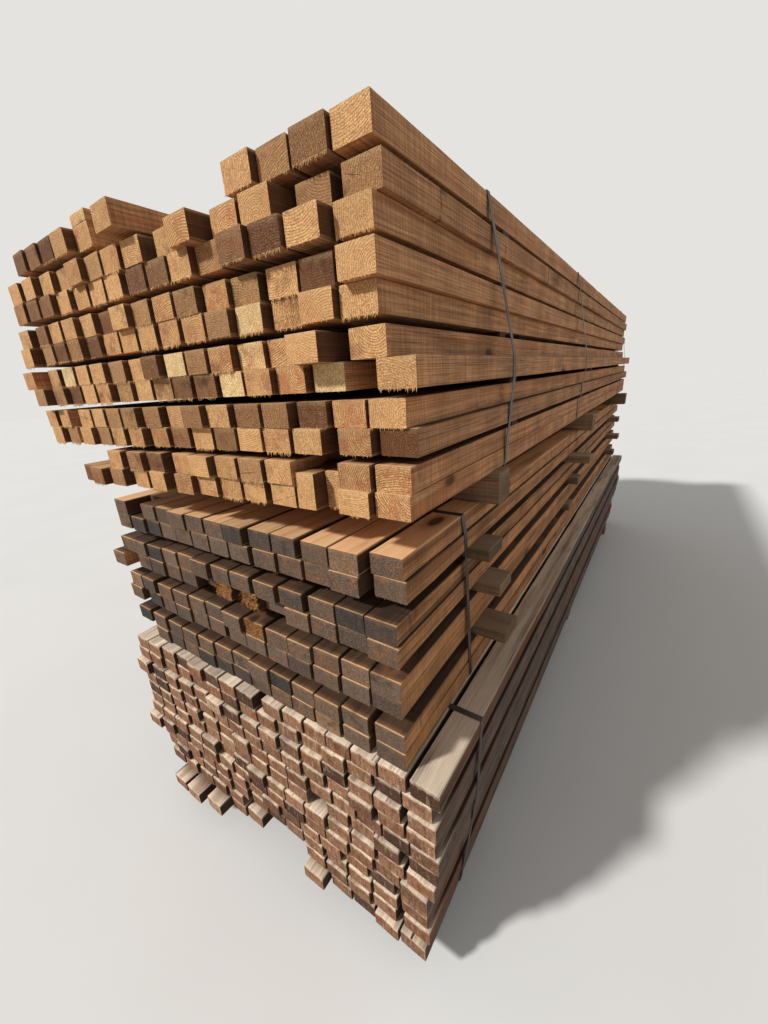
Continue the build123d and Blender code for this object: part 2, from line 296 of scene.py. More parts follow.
class Wiring:
    """Short words for laying out the nodes of one material."""

    def __init__(self, name):
        self.material = bpy.data.materials.new(name)
        self.material.use_nodes = True
        self.tree = self.material.node_tree
        self.tree.nodes.clear()
        output = self.add("ShaderNodeOutputMaterial")
        self.shader = self.add("ShaderNodeBsdfPrincipled")
        self.tree.links.new(self.shader.outputs[0], output.inputs["Surface"])
        self.place = self.add("ShaderNodeTexCoord").outputs["Object"]

    def add(self, kind, given=None, **settings):
        """A new node with some of its settings, and with what some of its inputs are given."""
        node = self.tree.nodes.new(kind)
        for name, value in settings.items():
            setattr(node, name, value)
        for place, value in (given or {}).items():
            self.feed(node.inputs[place], value)
        return node

    def feed(self, socket, value):
        """Gives an input a socket, a number or a colour."""
        if isinstance(value, bpy.types.NodeSocket):
            self.tree.links.new(value, socket)
        elif isinstance(value, (int, float)):
            socket.default_value = value
        else:
            socket.default_value = (*value, 1.0) if len(socket.default_value) == 4 else tuple(value)

    def maths(self, operation, *values):
        """A sum on numbers."""
        return self.add("ShaderNodeMath", dict(enumerate(values)), operation=operation).outputs[0]

    def times(self, product, *values):
        """The product of some numbers."""
        for value in values:
            product = self.maths("MULTIPLY", product, value)
        return product

    def stretch(self, vector, factors):
        """A vector with each part multiplied by its own factor."""
        return self.add("ShaderNodeVectorMath", {0: vector, 1: factors}, operation="MULTIPLY").outputs[0]

    def attribute(self, name):
        """An attribute that the mesh carries: its vector and its number."""
        node = self.add("ShaderNodeAttribute", attribute_name=name)
        return node.outputs["Vector"], node.outputs["Fac"]

    def split(self, vector):
        """The three parts of a vector."""
        return tuple(self.add("ShaderNodeSeparateXYZ", {0: vector}).outputs)

    def noise(self, vector, scale=1.0, detail=2.0, roughness=0.5):
        """Soft noise from 0 to 1."""
        given = {"Vector": vector, "Scale": scale, "Detail": detail, "Roughness": roughness}
        return self.add("ShaderNodeTexNoise", given).outputs[0]

    def cells(self, vector, randomness):
        """Distance to the nearest of some scattered points, and a number drawn for that point."""
        node = self.add("ShaderNodeTexVoronoi", {"Vector": vector, "Scale": 1.0, "Randomness": randomness})
        return node.outputs["Distance"], self.split(node.outputs["Color"])[0]

    def between(self, value, start, end, low=0.0, high=1.0):
        """A smooth step from low at start to high at end."""
        given = dict(enumerate((value, start, end, low, high)))
        return self.add("ShaderNodeMapRange", given, interpolation_type="SMOOTHSTEP").outputs[0]

    def mix(self, factor, first, second, blend="MIX"):
        """Two colours mixed by a factor."""
        given = {0: factor, 6: first, 7: second}
        return self.add("ShaderNodeMix", given, data_type="RGBA", blend_type=blend).outputs[2]

    def over(self, colour, *covers):
        """A colour with others laid over it, one after another, each with its own factor."""
        for factor, cover in covers:
            colour = self.mix(factor, colour, cover)
        return colour

    def shown(self):
        """1 where the camera sees the surface, also in a reflection, and 0 for the light it gives back."""
        path = self.add("ShaderNodeLightPath")
        seen = self.maths("MAXIMUM", path.outputs["Is Camera Ray"], path.outputs["Is Glossy Ray"])
        return self.maths("MAXIMUM", seen, path.outputs["Is Transmission Ray"])

    def bump(self, height, distance, strength):
        """A normal from a height, with the height's size in metres."""
        given = {"Height": height, "Distance": distance, "Strength": strength}
        return self.add("ShaderNodeBump", given).outputs[0]

    def finish(self, base, roughness, normal, **fixed):
        """Feeds the shader and returns the material."""
        given = {"Base Color": base, "Roughness": roughness, "Normal": normal, **fixed}
        for name, value in given.items():
            self.feed(self.shader.inputs[name.replace("_", " ")], value)
        return self.material


def timber_material(name, look, painted_shade_factor=1.0):
    """Rough sawn softwood, the same all through, so that rings on the ends run into grain on the sides."""
    w = Wiring(name)

    def grained(across_grain, along_grain, detail, roughness=0.5):
        """Noise drawn out along the grain, with its scale across and along it for each metre."""
        scales = (across_grain, along_grain, across_grain)
        return w.noise(w.stretch(grain, scales), detail=detail, roughness=roughness)

    # What the mesh carries: the place in the log, how the board looks, and where on the board this is
    grain = w.attribute("grain")[0]
    shade, warmth, wear = w.split(w.attribute("board")[0])
    edge, height_share, fresh = w.split(w.attribute("place")[0])
    sunned = w.attribute("sunned")[1]
    shut = w.attribute("shut")[1]
    end = w.attribute("end")[1]
    across, _, up = w.split(grain)

    # Knots: the grain bends round some of many scattered places in the log
    knot_distance, knot_chance = w.cells(w.stretch(grain, (8.0, 3.6, 8.0)), 0.6)
    knotty = w.between(knot_chance, 0.62, 0.66)
    knot = w.times(knotty, w.between(knot_distance, 0.15, 0.09))
    knot_halo = w.times(knotty, w.between(knot_distance, 0.28, 0.13))
    knot_pull = w.times(knotty, w.between(knot_distance, 0.34, 0.05, 0.0, 0.012))

    # Growth rings round the pith
    sway = grained(13.0, 0.9, 3.0)
    from_pith = w.maths("SQRT", w.maths("ADD", w.times(across, across), w.times(up, up)))
    swayed = w.maths("MULTIPLY_ADD", sway, 0.02, from_pith)
    turns = w.maths("DIVIDE", w.maths("SUBTRACT", swayed, knot_pull), look.ring)
    uneven = w.maths("MULTIPLY_ADD", w.noise(w.times(swayed, 55.0)), 1.6, turns)
    ring = w.maths("FRACT", uneven)
    latewood = w.times(w.between(ring, 0.3, 0.84), w.between(ring, 1.0, 0.93))

    # Patterns: streaks along the grain, grit on the ends, saw marks and bands across the sides
    fibre = grained(620.0, 14.0, 3.0, 0.65)
    coarse = grained(150.0, 2.6, 2.0)
    streaks = grained(38.0, 0.8, 3.0, 0.6)
    grit = grained(680.0, 90.0, 1.0, 0.6)
    mottle = grained(260.0, 60.0, 3.0, 0.7)
    saw = grained(6.0, 260.0, 3.0, 0.7)
    bands = grained(1.5, 8.0, 3.0)
    drips = grained(5.0, 16.0, 5.0, 0.65)
    patches = grained(22.0, 2.2, 4.0, 0.6)
    blotches = grained(34.0, 4.0, 4.0, 0.65)
    cracks = grained(130.0, 2.6, 2.0)
    runs = w.noise(w.stretch(w.place, (130.0, 6.0, 30.0)), detail=3.0, roughness=0.6)

    # Ends: rings, redder patches, dark and pale boards, drips, torn grit, dirt, bleaching and cracks
    rings_shown = w.times(latewood, w.between(mottle, 0.25, 0.55, 0.4, 1.0),
                          w.between(warmth, 0.0, 1.0, 0.4, 1.0))
    ruddy = w.times(w.between(blotches, 0.44, 0.62), w.between(warmth, 0.0, 1.0, 0.25, 0.85))
    darker = w.between(shade, 0.4, 1.0, 0.0, 0.92)
    paler = w.times(w.between(shade, 0.16, 0.0), w.between(blotches, 0.66, 0.4, 0.35, 0.8))
    smeared = w.times(w.between(runs, 0.5, 0.64), look.weathering, 0.6)
    washed = w.times(w.between(runs, 0.44, 0.3), look.weathering, 0.45)
    end_colour = w.over(look.end_light, (rings_shown, look.end_dark), (ruddy, look.side_odd),
                        (darker, look.end_odd), (paler, look.end_pale), (smeared, look.end_odd),
                        (washed, look.end_pale))
    gritty = w.between(grit, 0.3, 0.7, 1.0 - 0.65 * look.speckle, 1.0 + 0.35 * look.speckle)
    mottled = w.between(mottle, 0.3, 0.7, 1.0 - 0.4 * look.speckle, 1.0 + 0.2 * look.speckle)
    end_colour = w.mix(1.0, end_colour, w.times(gritty, mottled), "MULTIPLY")
    flecks = w.times(w.between(grit, 0.62, 0.72), 0.5 * look.speckle)
    end_dirt = w.times(w.between(patches, 0.5, 0.72), w.between(wear, 0.25, 1.0, 0.0, 0.75))
    uneven_height = w.maths("MULTIPLY_ADD", blotches, 0.7, height_share)
    bleached = w.between(uneven_height, 1.1, 1.36, 0.0, look.weathering)
    turned = w.maths("MULTIPLY_ADD", sway, 0.12, w.times(w.maths("ARCTAN2", up, across), 2.3))
    from_split = w.maths("ABSOLUTE", w.maths("SUBTRACT", w.maths("FRACT", turned), 0.5))
    split = w.times(w.between(from_split, 0.012, 0.004), w.between(wear, 0.62, 0.72),
                    w.between(patches, 0.42, 0.5))
    end_colour = w.over(end_colour, (flecks, look.end_pale), (end_dirt, look.stain_and_shade),
                        (bleached, look.end_pale), (w.times(split, 0.85), look.stain_and_shade))

    # Long sides: grain, redder streaks, saw marks, dirt, damp bands and the shade between two boards
    lines = w.maths("MULTIPLY_ADD", latewood, 0.38, w.between(fibre, 0.35, 0.7, 0.0, 0.5))
    tinted = w.times(w.between(streaks, 0.46, 0.62), w.between(warmth, 0.0, 1.0, 0.25, 0.9))
    side_colour = w.over(look.side_light, (lines, look.side_dark), (tinted, look.side_odd))
    sawn = w.between(saw, 0.4, 0.62, 1.0 - 0.38 * look.saw_marks, 1.0 + 0.16 * look.saw_marks)
    banded = w.between(bands, 0.35, 0.65, 0.8, 1.1)
    side_colour = w.mix(1.0, side_colour, w.times(sawn, banded), "MULTIPLY")
    side_colour = w.mix(1.0, side_colour, w.between(coarse, 0.3, 0.7, 0.78, 1.14), "MULTIPLY")
    side_dirt = w.times(w.between(patches, 0.52, 0.72), w.between(wear, 0.0, 1.0, 0.1, 0.7))
    damp = w.times(w.between(drips, 0.6, 0.68), w.between(wear, 0.0, 1.0, 0.25, 0.7))
    # Painted shade: sides that stand close to another board are darkened towards the stain colour
    side_colour = w.over(side_colour, (side_dirt, look.stain_and_shade), (damp, look.stain_and_shade),
                         (w.times(shut, 0.88), look.stain_and_shade))

    # Top faces: worn by sun and rain where they lie open, and darkened as painted shade where a row
    # shelters them
    facing_up = w.between(w.split(w.add("ShaderNodeNewGeometry").outputs["Normal"])[2], 0.5, 0.9)
    # Near the ends of a row under another, the pale worn top is also a painted lit strip
    worn = w.times(facing_up, sunned, w.between(patches, 0.7, 0.48, 0.4, 1.0))
    # Painted shade: tops under another row are darkened towards the stain colour
    shaded_by_row = w.times(facing_up, w.maths("SUBTRACT", 1.0, sunned))
    top_colour = w.over(look.top, (w.times(lines, 0.4), look.side_dark),
                        (w.between(streaks, 0.42, 0.64, 0.0, 0.5), look.side_light))
    side_colour = w.over(side_colour, (worn, top_colour), (w.times(shaded_by_row, 0.9), look.stain_and_shade))

    # Drying cracks and knots
    dried = w.times(w.between(cracks, 0.68, 0.72), look.weathering)
    side_colour = w.over(side_colour, (dried, look.stain_and_shade), (w.times(knot_halo, 0.45), look.side_dark),
                         (w.times(knot, 0.85), look.stain_and_shade))

    # All together, with the worn arrises, also a painted highlight along the lit edges, and the torn wood
    arris = w.times(edge, sunned, w.between(coarse, 0.42, 0.6, 0.1, 0.7))
    ragged = w.maths("MULTIPLY_ADD", grit, 0.5, w.times(mottle, 0.5))
    torn = w.mix(w.between(ragged, 0.4, 0.6), look.torn_dark, look.torn_light)
    base = w.over(side_colour, (end, end_colour), (arris, look.top), (fresh, torn))
    # Each board's tone, times the painted shade factor that darkens the laths
    base = w.mix(1.0, base, w.between(shade, 0.0, 1.0, 1.12 * painted_shade_factor, 0.78 * painted_shade_factor), "MULTIPLY")

    # Relief: grit and splits on the ends, fibres, saw marks and cracks on the sides
    end_height = w.maths("MULTIPLY_ADD", grit, 0.35, w.times(latewood, -0.4))
    end_height = w.maths("MULTIPLY_ADD", mottle, 1.3, end_height)
    end_height = w.maths("SUBTRACT", end_height, w.times(split, 2.0))
    side_height = w.maths("MULTIPLY_ADD", fibre, 0.6, w.times(latewood, 0.25))
    side_height = w.maths("ADD", side_height, w.times(saw, 1.2 * look.saw_marks))
    side_height = w.maths("SUBTRACT", side_height, w.times(dried, 1.6))
    side_height = w.times(w.maths("SUBTRACT", 1.0, end), side_height)
    height = w.maths("ADD", w.times(end, end_height), side_height)
    rough = w.between(fibre, 0.3, 0.7, 0.74, 0.92)
    return w.finish(base, rough, w.bump(height, 0.0014, 0.8), Specular_IOR_Level=0.25)


def strap_material(name, look):
    """Dark painted strap steel with scuffs and dust."""
    w = Wiring(name)
    scuffs = w.noise(w.stretch(w.place, (60.0, 260.0, 60.0)), detail=3.0, roughness=0.6)
    dust = w.noise(w.stretch(w.place, (9.0, 9.0, 9.0)), detail=4.0, roughness=0.6)
    base = w.mix(w.between(scuffs, 0.55, 0.75, 0.0, 0.5), look.steel, look.dust)
    base = w.mix(w.between(dust, 0.45, 0.75, 0.0, 0.35), base, look.dust)
    rough = w.between(dust, 0.3, 0.7, 0.38, 0.62)
    return w.finish(base, rough, w.bump(scuffs, 0.0003, 0.5), Metallic=0.35)


def seal_material(name, look):
    """Rolled steel of the seals, brushed along the strap and stained in the crimps."""
    w = Wiring(name)
    brushed = w.noise(w.stretch(w.place, (300.0, 900.0, 40.0)))
    grime = w.noise(w.stretch(w.place, (70.0, 70.0, 70.0)), detail=4.0, roughness=0.6)
    base = w.mix(w.between(brushed, 0.3, 0.7, 0.0, 0.3), look.seal, look.dust)
    base = w.mix(w.between(grime, 0.5, 0.72, 0.0, 0.8), base, look.steel)
    rough = w.between(grime, 0.3, 0.7, 0.32, 0.6)
    return w.finish(base, rough, w.bump(brushed, 0.0002, 0.5), Metallic=0.9)


def floor_material(name, look):
    """A pale studio floor with the faintest mottling."""
    w = Wiring(name)
    mottle = w.noise(w.place, 1.4, detail=4.0)
    base = w.mix(w.shown(), look.bounce, look.floor)
    base = w.mix(1.0, base, w.between(mottle, 0.3, 0.7, 0.985, 1.015), "MULTIPLY")
    return w.finish(base, w.between(mottle, 0.3, 0.7, 0.8, 0.9), w.bump(mottle, 0.0005, 0.3))


class TimberMesh:
    """Gathers the vertices, faces and attributes of the timbers of one piece."""

    def __init__(self):
        self.points, self.faces = [], []
        self.grain, self.board, self.spot, self.sunned, self.end, self.shut = [], [], [], [], [], []
        self.count = 0

    def add(self, points, faces, end, shut, grain, board, edge, height_share, fresh, sunned):
        """One closed form: faces count from 0, end marks its ends and shut its sides close to others."""
        self.points.append(points)
        self.faces.extend([tuple(index + self.count for index in face) for face in faces])
        self.end.extend(end)
        self.shut.extend(shut)
        self.grain.append(grain)
        self.board.append(np.tile(board, (len(points), 1)))
        self.spot.append(np.stack([edge, height_share, fresh], axis=-1))
        self.sunned.append(sunned)
        self.count += len(points)

    def piece(self, name, material, slot, *nodes):
        """Makes the object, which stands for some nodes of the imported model."""
        mesh = bpy.data.meshes.new(name)
        mesh.from_pydata(np.concatenate(self.points).tolist(), [], self.faces)
        for label, kind, domain, values in (
                ("grain", "FLOAT_VECTOR", "POINT", np.concatenate(self.grain)),
                ("board", "FLOAT_VECTOR", "POINT", np.concatenate(self.board)),
                ("place", "FLOAT_VECTOR", "POINT", np.concatenate(self.spot)),
                ("sunned", "FLOAT", "POINT", np.concatenate(self.sunned)),
                ("end", "FLOAT", "FACE", np.array(self.end)),
                ("shut", "FLOAT", "FACE", np.array(self.shut))):
            attribute = mesh.attributes.new(label, kind, domain)
            field = "vector" if kind == "FLOAT_VECTOR" else "value"
            attribute.data.foreach_set(field, values.astype(np.float32).ravel())
        mesh.shade_smooth()
        mesh.set_sharp_from_angle(angle=math.radians(SHARP_TURN))
        mesh.materials.append(material)
        made = bpy.data.objects.new(name, mesh)
        bpy.context.scene.collection.objects.link(made)
        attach(made, "root")
        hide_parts(*nodes)
        return made


def solids_of(node):
    """The box of each separate solid of a node, from right to left and from front to back."""
    bm = bmesh.new()
    bm.from_mesh(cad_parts[node].data)
    bmesh.ops.remove_doubles(bm, verts=bm.verts, dist=0.01 * MILLIMETRE)
    seen, boxes = set(), []
    for first in bm.verts:
        if first in seen:
            continue
        seen.add(first)
        waiting, found = [first], []
        while waiting:
            vertex = waiting.pop()
            found.append(vertex.co.copy())
            for edge in vertex.link_edges:
                other = edge.other_vert(vertex)
                if other not in seen:
                    seen.add(other)
                    waiting.append(other)
        corners = np.array(found)
        boxes.append((corners.min(0), corners.max(0)))
    bm.free()
    return sorted(boxes, key=lambda box: (-round(box[0][0], 4), box[0][1]))


def lines_across(length, arris, band, step):
    """Places of the mesh lines across a side: close at both arrises and evenly spaced between them."""
    inner = length - 2 * band
    count = max(1, round(inner / step))
    return np.array([0.0, arris, *(band + inner * np.arange(count + 1) / count), length - arris, length])


def places_along(length, spacing):
    """Places of the rings of vertices along a timber: close at both ends."""
    near = np.array([0.0, 0.0014, 0.005, 0.016, 0.045, 0.11])
    reach = length - 2 * near[-1]
    count = max(2, round(reach / spacing))
    middle = near[-1] + reach * np.arange(1, count) / count
    return np.concatenate([near, middle, (length - near)[::-1]])


def waves(random, along, longest, shortest, count=4):
    """A smooth uneven curve of about -1 to 1."""
    total = np.zeros_like(along)
    for wavelength in np.geomspace(longest, shortest, count):
        total += np.sin(2 * math.pi * (along / wavelength + random.random()))
    return total / math.sqrt(count)


class Timber:
    """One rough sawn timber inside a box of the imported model."""

    def __init__(self, low, high, random, arris, spacing, open_reach, shut=(False, False), crosswise=False,
                 torn=0.0):
        self.low, self.high, self.random, self.arris, self.spacing = low, high, random, arris, spacing
        self.open_reach, self.shut, self.crosswise, self.torn = open_reach, shut, crosswise, torn
        extent = high - low
        self.width, self.length = (extent[1], extent[0]) if crosswise else (extent[0], extent[1])
        self.height = extent[2]

    def place(self, across, along, up):
        """Points of the timber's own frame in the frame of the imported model."""
        if self.crosswise:
            return np.stack([self.low[0] + along, self.high[1] - across, self.low[2] + up], axis=-1)
        return np.stack([self.low[0] + across, self.low[1] + along, self.low[2] + up], axis=-1)

    def log_space(self, across, along, up):
        """Points measured from the pith of the log that the timber was cut from."""
        x = across - 0.5 * self.width + self.pith[0] + self.slope[0] * along
        z = up - 0.5 * self.height + self.pith[1] + self.slope[1] * along
        cosine, sine = math.cos(self.turn), math.sin(self.turn)
        return np.stack([cosine * x - sine * z, along + self.start, sine * x + cosine * z], axis=-1)

    def choose_log(self):
        """Where in its log the timber lay."""
        random = self.random
        angle = random.uniform(0, 2 * math.pi)
        distance = random.uniform(0.015, 0.13)
        self.pith = (distance * math.cos(angle), distance * math.sin(angle))
        self.slope = random.uniform(-0.008, 0.008, 2)
        self.turn = random.uniform(0, 2 * math.pi)
        self.start = random.uniform(0, 60.0)

    def section(self):
        """The mesh lines of the cross section, and its outline anticlockwise as pairs of their indices."""
        band = 6.0 * MILLIMETRE
        step = 4.0 * MILLIMETRE if self.torn else 15.0 * MILLIMETRE
        low_arris, low_band = min(self.arris, 0.2 * self.height), min(band, 0.35 * self.height)
        self.xs = lines_across(self.width, self.arris, band, step)
        self.zs = lines_across(self.height, low_arris, low_band, step)
        columns, rows = len(self.xs), len(self.zs)
        self.outline = ([(i, 0) for i in range(1, columns - 1)]
                        + [(columns - 1, j) for j in range(1, rows - 1)]
                        + [(i, rows - 1) for i in range(columns - 2, 0, -1)]
                        + [(0, j) for j in range(rows - 2, 0, -1)])

    def cap(self, ring, inner, flip):
        """Faces of an end, from the outline's vertices and the inner ones."""
        columns, rows = len(self.xs), len(self.zs)
        index = {pair: ring + k for k, pair in enumerate(self.outline)}
        for k, pair in enumerate((i, j) for j in range(1, rows - 1) for i in range(1, columns - 1)):
            index[pair] = inner + k
        faces = []
        for i in range(columns - 1):
            for j in range(rows - 1):
                corners = [(i, j), (i + 1, j), (i + 1, j + 1), (i, j + 1)]
                face = [index[corner] for corner in corners if corner in index]
                faces.append(tuple(reversed(face)) if flip else tuple(face))
        return faces

    def nicks(self, along):
        """How far each of the four arrises is worn or chipped in, along the timber."""
        random = self.random
        depth = np.zeros((len(along), 4))
        for corner in range(4):
            depth[:, corner] = 0.18 * self.arris * (1 + waves(random, along, 0.5, 0.07))
            for _ in range(random.integers(1, 5)):
                middle, reach = random.uniform(0, self.length), random.uniform(0.012, 0.09)
                deepest = random.uniform(0.2, 1.2) * self.arris
                depth[:, corner] += deepest * np.exp(-((along - middle) / reach) ** 2)
        return np.maximum(depth, 0.0)

    def end_shape(self, across, up):
        """How far a sawn end lies in from the box: out of square, and torn where the board is."""
        random = self.random
        lean = random.uniform(-0.02, 0.02, 2)
        inward = lean[0] * across + lean[1] * up
        inward += 0.25 * MILLIMETRE * random.random(len(across))
        if self.torn:
            inward += 0.5 * self.torn * random.random(len(across)) ** 2
            rises = waves(random, across, 0.09, 0.03) * waves(random, up, 0.08, 0.03)
            inward += 0.25 * self.torn * (1 + rises)
            from_hole = np.hypot(across - 0.22 * self.width, up - 0.55 * self.height) / (0.26 * self.width)
            inward += 1.1 * self.torn * np.exp(-from_hole ** 2)
        return inward - inward.min()

    def build(self, mesh, board):
        """Adds the timber to a mesh."""
        random = self.random
        self.choose_log()
        self.section()
        along = places_along(self.length, self.spacing)
        across = np.array([self.xs[i] for i, j in self.outline])
        up = np.array([self.zs[j] for i, j in self.outline])
        columns, rows = len(self.xs), len(self.zs)
        inner = [(i, j) for j in range(1, rows - 1) for i in range(1, columns - 1)]
        inner_across = np.array([self.xs[i] for i, j in inner])
        inner_up = np.array([self.zs[j] for i, j in inner])

        # The long sides, from the plain section to a worn and slightly bowed one
        count = len(self.outline)
        x, z = np.tile(across, (len(along), 1)), np.tile(up, (len(along), 1))
        y = np.tile(along[:, None], (1, count))
        grain = self.log_space(x, y, z).reshape(-1, 3)
        narrower = random.uniform(0.2, 1.4) * MILLIMETRE
        thinner = random.uniform(0.0, 0.6) * MILLIMETRE
        middle_x, middle_z = 0.5 * self.width, 0.5 * self.height
        side_wave = 0.2 * MILLIMETRE * np.maximum(1 + waves(random, along, 0.9, 0.12), 0.0)[:, None]
        out_x, out_z = (across - middle_x) / middle_x, (up - middle_z) / middle_z
        x = x - out_x * (0.5 * narrower + side_wave)
        z = z - (up / self.height) * thinner
        corner_points = [k for k, (i, j) in enumerate(self.outline)
                         if i in (0, 1, columns - 2, columns - 1) and j in (0, 1, rows - 2, rows - 1)]
        depth = self.nicks(along)
        for k in corner_points:
            corner = 2 * (across[k] > middle_x) + (up[k] > middle_z)
            x[:, k] -= np.sign(out_x[k]) * depth[:, corner]
            z[:, k] -= np.sign(out_z[k]) * depth[:, corner]
        bow = waves(random, along, 2.2 * self.length, 0.8 * self.length, 2)
        x = x + BOW * np.clip(0.5 * bow, -1.0, 1.0)[:, None]

        # The ends
        end_across, end_up = np.concatenate([across, inner_across]), np.concatenate([up, inner_up])
        near_in = self.end_shape(end_across, end_up)
        far_in = self.end_shape(end_across, end_up)
        near_fade = np.clip(1 - along / END_FADE, 0, 1)[:, None]
        far_fade = np.clip(1 - (self.length - along) / END_FADE, 0, 1)[:, None]
        y = y + near_fade * near_in[:count] - far_fade * far_in[:count]
        for ring in (0, -1):
            x[ring] -= np.sign(out_x) * 0.25 * self.arris * (np.abs(out_x) > 0.9)
            z[ring] -= np.sign(out_z) * 0.25 * self.arris * (np.abs(out_z) > 0.9)
        x, z = np.clip(x, 0.0, self.width), np.clip(z, 0.0, self.height)
        points = np.concatenate([self.place(x, y, z).reshape(-1, 3),
                                 self.place(inner_across, near_in[count:], inner_up),
                                 self.place(inner_across, self.length - far_in[count:], inner_up)])

        faces, end, shut = [], [], []
        for ring in range(0, (len(along) - 1) * count, count):
            for k in range(count):
                after = (k + 1) % count
                faces.append((ring + count + k, ring + count + after, ring + after, ring + k))
                end.append(0.0)
                met = (self.outline[k][0], self.outline[after][0])
                shut.append(float((self.shut[0] and 0 in met) or (self.shut[1] and columns - 1 in met)))
        first_inner = len(along) * count
        for added in (self.cap(0, first_inner, True),
                      self.cap(first_inner - count, first_inner + len(inner), False)):
            faces.extend(added)
            end.extend([1.0] * len(added))
            shut.extend([0.0] * len(added))

        # What each point carries
        grain = np.concatenate([grain, self.log_space(inner_across, np.zeros(len(inner)), inner_up),
                                self.log_space(inner_across, np.full(len(inner), self.length), inner_up)])
        edge = np.zeros(len(points))
        edge[:first_inner].reshape(-1, count)[:, corner_points] = 1.0
        fresh = np.zeros(len(points))
        if self.torn:
            fresh[:count] = 0.8
            fresh[first_inner:first_inner + len(inner)] = 1.0
        height_share = np.concatenate([np.tile(up, len(along)), inner_up, inner_up]) / self.height
        to_end = np.repeat(np.minimum(along, self.length - along), count)
        # How far in from the ends the sun reaches: worn top and painted lit strip there, painted shade
        # beyond
        sunned = np.concatenate([np.exp(-(to_end / self.open_reach) ** 2), np.ones(2 * len(inner))])
        mesh.add(points, faces, end, shut, grain, board, edge, height_share, fresh, sunned)

    def strand(self, mesh, board, root, tip, thick):
        """Adds one torn fibre, a bent spike whose root and tip are in the timber's own frame."""
        faces = [(2, 1, 0), (0, 1, 4, 3), (1, 2, 5, 4), (2, 0, 3, 5), (3, 4, 6), (4, 5, 6), (5, 3, 6)]
        turns = 2 * math.pi * np.arange(3) / 3
        around = thick * np.stack([np.cos(turns), np.sin(turns), np.zeros(3)], axis=-1)
        sagging = root + (tip - root) * np.array([0.6, 0.75, 0.4])
        local = np.concatenate([root + around, sagging + 0.7 * around, [tip]])
        points = np.clip(self.place(*local.T), *CAD_BOX)
        grain = self.log_space(*local.T)
        none, full = np.zeros(7), np.ones(7)
        mesh.add(points, faces, [0.0] * 7, [0.0] * 7, grain, board, none, none, full, full)

    def fibres(self, mesh, board, count, longest, far=False):
        """Adds torn fibres that hang from the lower arris of one end."""
        random = self.random
        for _ in range(count):
            drop = longest * random.uniform(0.3, 1.0) ** 1.3
            inside = random.uniform(0.5, 2.0) * MILLIMETRE
            outside = inside - random.uniform(0.0, 0.45) * drop
            middle = random.uniform(0.03, 0.97) * self.width
            root = np.array([middle, inside, 1.6 * MILLIMETRE])
            tip = np.array([middle + random.normal(0, 0.25) * drop, outside, 1.6 * MILLIMETRE - drop])
            if far:
                root[1], tip[1] = self.length - root[1], self.length - tip[1]
            self.strand(mesh, board, root, tip, random.uniform(0.4, 1.3) * MILLIMETRE)

    def splinters(self, mesh, board, count):
        """Adds the broken fibres that stand out all over a torn near end."""
        random = self.random
        for _ in range(count):
            reach = self.torn * random.uniform(0.2, 0.7) + 3 * MILLIMETRE
            root = np.array([random.uniform(0.04, 0.96) * self.width, 0.8 * self.torn,
                             random.uniform(0.06, 0.96) * self.height])
            aside, drop = random.normal(0, 0.35), abs(random.normal(0.2, 0.4))
            tip = root + reach * np.array([aside, -1.0, -drop])
            self.strand(mesh, board, root, tip, random.uniform(0.4, 1.1) * MILLIMETRE)


# How deep the near end of some boards is torn, by node and place from the right, in metres
TORN_ENDS = {("middle_layer_05", 5): 0.022, ("middle_layer_05", 6): 0.009, ("middle_layer_04", 5): 0.006}

# Boards with looks of their own, by node and place from the right: how dark, how streaked and how worn,
# from 0 to 1
ODD_BOARDS = {
    "upper_layer_11": {0: (0.30, 0.2, 0.1), 1: (0.78, 0.3, 0.3), 2: (0.62, 0.4, 0.3), 3: (0.28, 0.2, 0.1)},
    "upper_layer_10": {0: (0.66, 0.2, 0.9), 1: (0.68, 0.3, 0.2), 2: (0.34, 0.3, 0.2)},
    "upper_layer_09": {0: (0.45, 0.1, 0.2), 2: (1.00, 0.4, 0.3)},
    "upper_layer_08": {0: (0.20, 0.1, 0.1), 1: (0.92, 0.3, 0.9)},
    "upper_layer_07": {0: (0.32, 0.1, 0.1), 3: (0.06, 0.1, 0.1)},
    "upper_layer_06": {6: (0.03, 0.1, 0.0)},
    "upper_layer_05": {0: (0.45, 0.1, 0.2), 1: (0.00, 0.0, 0.0), 4: (0.05, 0.1, 0.1)},
    "upper_layer_02": {0: (0.30, 0.9, 0.2)},
    "upper_layer_01": {0: (0.25, 0.9, 0.2), 1: (0.22, 0.2, 0.1)},
    "lower_layer_01": {8: (0.08, 1.0, 0.0), 9: (0.10, 1.0, 0.0), 10: (0.15, 1.0, 0.0)},
}


def board_looks(random):
    """How dark, how streaked and how worn a board is: most fairly light, a few very dark or pale."""
    shade, warmth, wear = random.random(3)
    shade = 0.12 * random.random() if shade < 0.03 else 0.15 + 0.85 * shade ** 2.2
    return shade, warmth, wear


def neighbours(boxes, place):
    """Whether another board stands close to the left and close to the right of a board of a row."""
    low, high = boxes[place]
    left = place + 1 < len(boxes) and low[0] - boxes[place + 1][1][0] < CLOSE
    right = place > 0 and boxes[place - 1][0][0] - high[0] < CLOSE
    return left, right


def covered(low, high, above):
    """Whether a board of the row above lies over the middle of a board, or close to it."""
    middle = 0.5 * (low[0] + high[0])
    return any(over_low[0] - CLOSE < middle < over_high[0] + CLOSE for over_low, over_high in above)


